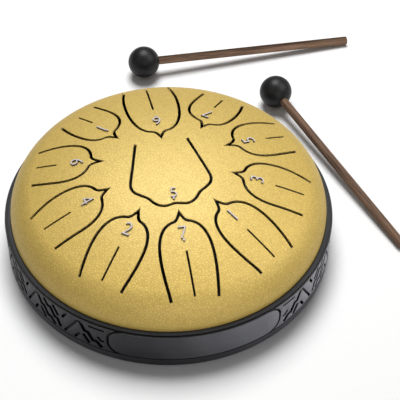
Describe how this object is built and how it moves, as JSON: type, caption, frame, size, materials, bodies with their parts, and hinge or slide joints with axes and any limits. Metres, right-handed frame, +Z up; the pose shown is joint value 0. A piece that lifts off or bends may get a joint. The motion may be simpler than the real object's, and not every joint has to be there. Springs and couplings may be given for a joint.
{
  "type": "steel tongue drum",
  "caption": "Round steel tongue drum with a domed top of lotus-petal tongues, a shallow bottom shell, a moulded rubber rim ring and a pair of rubber-headed mallets.",
  "frame": {"origin": "on the drum's axis, at the level of the table that the rim ring stands on", "axes": "+Z up along the drum's axis; -Y towards the player, where the plain panel of the ring and the longest front tongue are"},
  "size_m": [0.2725, 0.2776, 0.0662],
  "materials": {
    "gold_lacquer": "champagne-gold lacquer with a fine leathery grain",
    "weld_steel": "dull weld bead",
    "ring_rubber": "satin moulded rubber",
    "stick_wood": "dark stained wood with an oil finish",
    "head_rubber": "smooth solid rubber"
  },
  "bodies": {
    "drum": {"top_shell": "gold_lacquer", "bottom_shell": "gold_lacquer", "seam_weld": "weld_steel", "rim_ring": "ring_rubber"},
    "mallet_a": {"mallet_stick_a": "stick_wood", "mallet_head_a": "head_rubber"},
    "mallet_b": {"mallet_stick_b": "stick_wood", "mallet_head_b": "head_rubber"}
  },
  "joints": [
    {"name": "mallet_a_lift", "type": "slide", "parent": "drum", "child": "mallet_a", "axis": [0, 0, 1], "range_m": [0, 0.15]},
    {"name": "mallet_b_lift", "type": "slide", "parent": "drum", "child": "mallet_b", "axis": [0, 0, 1], "range_m": [0, 0.15]}
  ]
}
